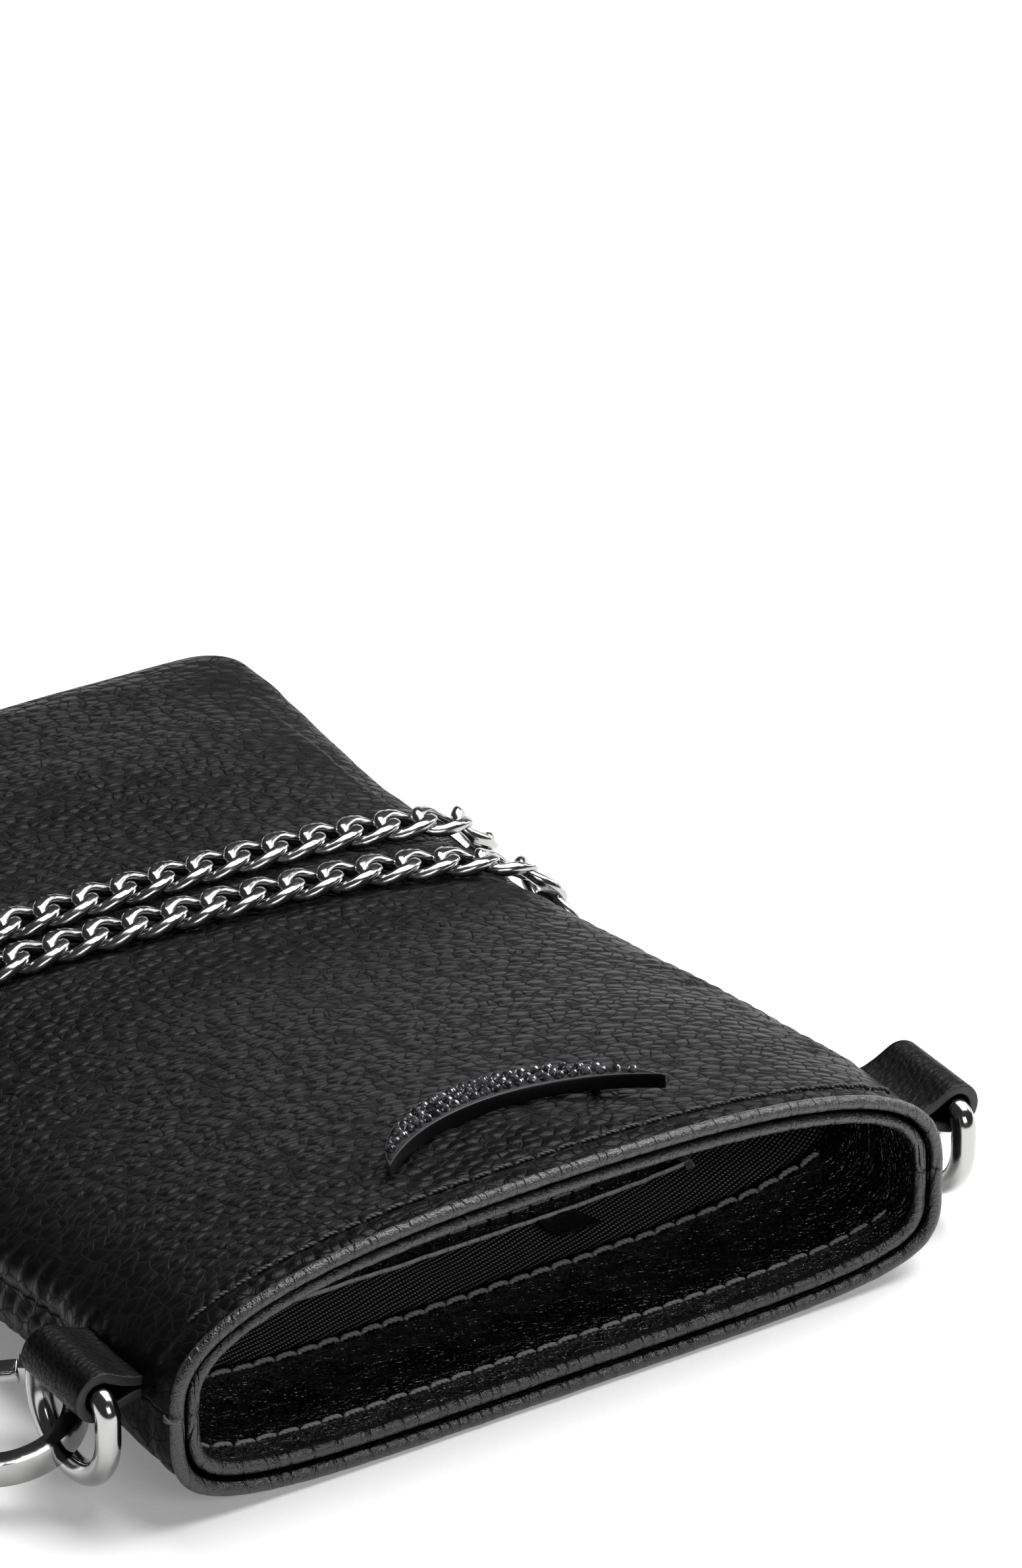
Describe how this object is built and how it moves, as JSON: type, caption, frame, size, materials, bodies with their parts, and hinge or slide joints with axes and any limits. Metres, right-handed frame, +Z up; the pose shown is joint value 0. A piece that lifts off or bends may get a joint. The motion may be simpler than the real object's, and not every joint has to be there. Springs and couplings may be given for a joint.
{
  "type": "chain wallet",
  "caption": "Flat open-mouthed leather pouch wallet with side D rings, a snap clasp and a chain strap wound round it.",
  "frame": {"origin": "middle of the pouch's base, on the surface that it lies on", "axes": "+X along the mouth, +Y from the mouth to the closed end, +Z up out of the back panel"},
  "size_m": [0.1679, 0.18, 0.0332],
  "materials": {
    "leather": "pebbled, semi-gloss",
    "facing_leather": "glossy, crinkled",
    "lining": "twill",
    "label": "woven, blank",
    "thread": "twisted",
    "steel": "polished nickel",
    "chain": "polished, flat-cut links",
    "black_metal": "satin black",
    "stones": "faceted black glass"
  },
  "bodies": {
    "pouch": {"front_panel": "leather", "back_panel": "leather", "front_facing": "facing_leather", "back_facing": "facing_leather", "front_lining": "lining", "back_lining": "lining", "card_pocket": "lining", "pocket_binding": "facing_leather", "pocket_label": "label", "left_loop": "leather", "right_loop": "leather", "clasp_body": "steel", "clasp_pin": "steel", "ring_link": "steel", "chain_strap": "chain", "ornament_frame": "black_metal", "ornament_stones": "stones", "ornament_posts": "black_metal", "ornament_washers": "steel", "front_mouth_stitches": "thread", "back_mouth_stitches": "thread", "front_facing_stitches": "thread", "back_facing_stitches": "thread", "pocket_stitches": "thread"},
    "left_ring": {"left_ring": "steel"},
    "right_ring": {"right_ring": "steel"},
    "gate": {"clasp_gate": "steel"},
    "swivel": {"clasp_swivel": "steel", "clasp_link": "steel"}
  },
  "joints": [
    {"name": "left_ring_swing", "type": "hinge", "parent": "pouch", "child": "left_ring", "pos_m": [-0.0623, -0.0757, 0.0166], "axis": [0, 1, 0], "range_deg": [-4, 8]},
    {"name": "right_ring_swing", "type": "hinge", "parent": "pouch", "child": "right_ring", "pos_m": [0.0623, -0.0757, 0.0166], "axis": [0, 1, 0], "range_deg": [-12, 12]},
    {"name": "clasp_gate_hinge", "type": "hinge", "parent": "pouch", "child": "gate", "pos_m": [-0.07223, -0.05278, 0.00665], "axis": [0.2264, 0.0494, -0.9728], "range_deg": [0, 20], "stiffness_Nm_per_rad": 0.02, "springref_deg": -17.19},
    {"name": "clasp_swivel_turn", "type": "hinge", "parent": "pouch", "child": "swivel", "pos_m": [-0.08196, -0.04872, 0.00459], "axis": [-0.6191, 0.7783, -0.1045], "continuous": true}
  ]
}
